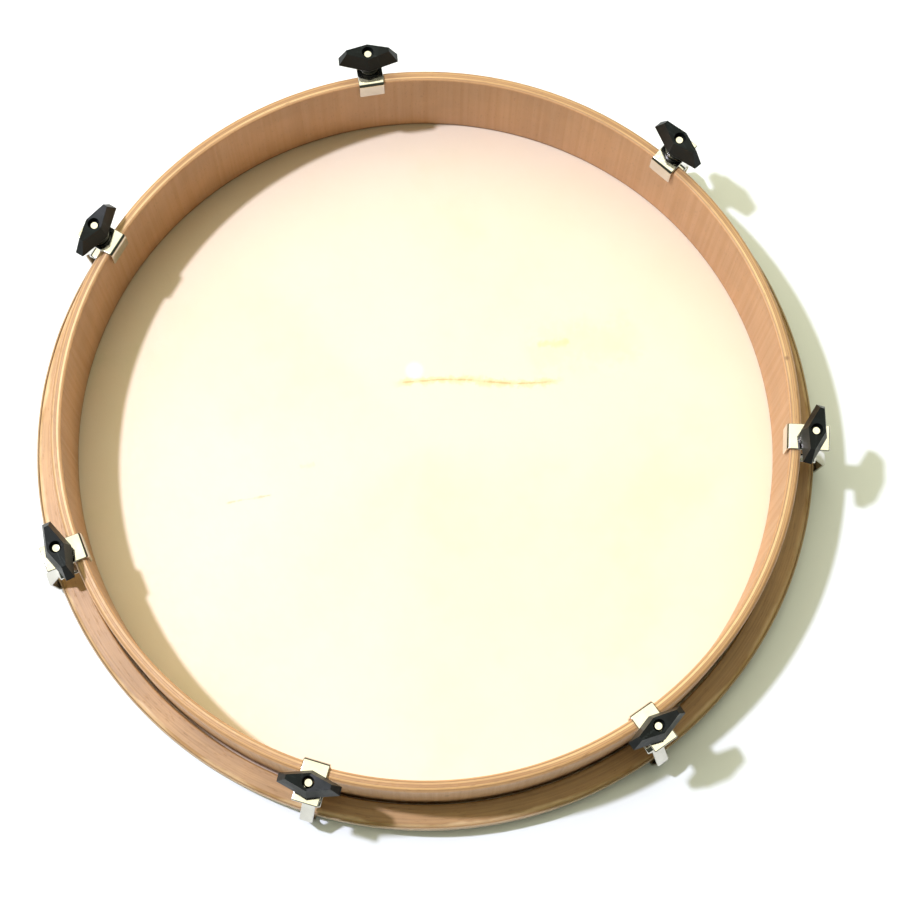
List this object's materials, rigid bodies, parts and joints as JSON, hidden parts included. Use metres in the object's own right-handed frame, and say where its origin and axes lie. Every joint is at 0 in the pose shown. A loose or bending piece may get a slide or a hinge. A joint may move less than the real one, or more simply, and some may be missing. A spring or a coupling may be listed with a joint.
{
  "type": "tunable frame drum",
  "caption": "Large tunable hand drum: plywood ring shell, natural skin on an outer wooden hoop, wing knobs that draw the hoop up with bolts and claws.",
  "frame": {"origin": "middle of the skin's underside, on the drum's axis", "axes": "+Z along the drum's axis from the skin towards the open back; +X through the first tuning unit"},
  "size_m": [0.4343, 0.4302, 0.077],
  "materials": {
    "beech_ply": "oiled beech plywood, plies bare on the edges",
    "beech_hoop": "plain steam-bent beech, thin oil",
    "natural_skin": "scraped natural hide, cream with cloudy yellow patches",
    "nickel_steel": "bright nickel-plated pressed steel",
    "black_plastic": "satin moulded black plastic",
    "brass_bush": "turned brass"
  },
  "bodies": {
    "drum_shell": {"shell": "beech_ply", "drumhead": "natural_skin", "shell_clip_1": "nickel_steel", "shell_clip_2": "nickel_steel", "shell_clip_3": "nickel_steel", "shell_clip_4": "nickel_steel", "shell_clip_5": "nickel_steel", "shell_clip_6": "nickel_steel", "shell_clip_7": "nickel_steel", "knob_washer_1": "nickel_steel", "knob_washer_2": "nickel_steel", "knob_washer_3": "nickel_steel", "knob_washer_4": "nickel_steel", "knob_washer_5": "nickel_steel", "knob_washer_6": "nickel_steel", "knob_washer_7": "nickel_steel"},
    "hoop_assembly": {"tension_hoop": "beech_hoop", "drumhead_margin": "natural_skin", "hoop_claw_1": "nickel_steel", "hoop_claw_2": "nickel_steel", "hoop_claw_3": "nickel_steel", "hoop_claw_4": "nickel_steel", "hoop_claw_5": "nickel_steel", "hoop_claw_6": "nickel_steel", "hoop_claw_7": "nickel_steel", "tension_bolt_1": "nickel_steel", "tension_bolt_2": "nickel_steel", "tension_bolt_3": "nickel_steel", "tension_bolt_4": "nickel_steel", "tension_bolt_5": "nickel_steel", "tension_bolt_6": "nickel_steel", "tension_bolt_7": "nickel_steel"},
    "knob_1": {"wing_knob_1": "black_plastic", "knob_bush_1": "brass_bush"},
    "knob_2": {"wing_knob_2": "black_plastic", "knob_bush_2": "brass_bush"},
    "knob_3": {"wing_knob_3": "black_plastic", "knob_bush_3": "brass_bush"},
    "knob_4": {"wing_knob_4": "black_plastic", "knob_bush_4": "brass_bush"},
    "knob_5": {"wing_knob_5": "black_plastic", "knob_bush_5": "brass_bush"},
    "knob_6": {"wing_knob_6": "black_plastic", "knob_bush_6": "brass_bush"},
    "knob_7": {"wing_knob_7": "black_plastic", "knob_bush_7": "brass_bush"}
  },
  "joints": [
    {"name": "knob_1_turn", "type": "hinge", "parent": "drum_shell", "child": "knob_1", "pos_m": [0.205, 0, 0.062], "axis": [0, 0, 1], "range_deg": [-1800, 720]},
    {"name": "knob_2_turn", "type": "hinge", "parent": "drum_shell", "child": "knob_2", "pos_m": [0.12782, 0.16028, 0.062], "axis": [0, 0, 1], "range_deg": [-1800, 720]},
    {"name": "knob_3_turn", "type": "hinge", "parent": "drum_shell", "child": "knob_3", "pos_m": [-0.04562, 0.19986, 0.062], "axis": [0, 0, 1], "range_deg": [-1800, 720]},
    {"name": "knob_4_turn", "type": "hinge", "parent": "drum_shell", "child": "knob_4", "pos_m": [-0.1847, 0.08895, 0.062], "axis": [0, 0, 1], "range_deg": [-1800, 720]},
    {"name": "knob_5_turn", "type": "hinge", "parent": "drum_shell", "child": "knob_5", "pos_m": [-0.1847, -0.08895, 0.062], "axis": [0, 0, 1], "range_deg": [-1800, 720]},
    {"name": "knob_6_turn", "type": "hinge", "parent": "drum_shell", "child": "knob_6", "pos_m": [-0.04562, -0.19986, 0.062], "axis": [0, 0, 1], "range_deg": [-1800, 720]},
    {"name": "knob_7_turn", "type": "hinge", "parent": "drum_shell", "child": "knob_7", "pos_m": [0.12782, -0.16028, 0.062], "axis": [0, 0, 1], "range_deg": [-1800, 720]},
    {"name": "hoop_travel", "type": "slide", "parent": "drum_shell", "child": "hoop_assembly", "axis": [0, 0, 1], "range_m": [-0.0016, 0.004]}
  ],
  "couplings": [
    {"joint": "knob_1_turn", "follows": "hoop_travel", "rad_per_m": -7854},
    {"joint": "knob_2_turn", "follows": "hoop_travel", "rad_per_m": -7854},
    {"joint": "knob_3_turn", "follows": "hoop_travel", "rad_per_m": -7854},
    {"joint": "knob_4_turn", "follows": "hoop_travel", "rad_per_m": -7854},
    {"joint": "knob_5_turn", "follows": "hoop_travel", "rad_per_m": -7854},
    {"joint": "knob_6_turn", "follows": "hoop_travel", "rad_per_m": -7854},
    {"joint": "knob_7_turn", "follows": "hoop_travel", "rad_per_m": -7854}
  ]
}
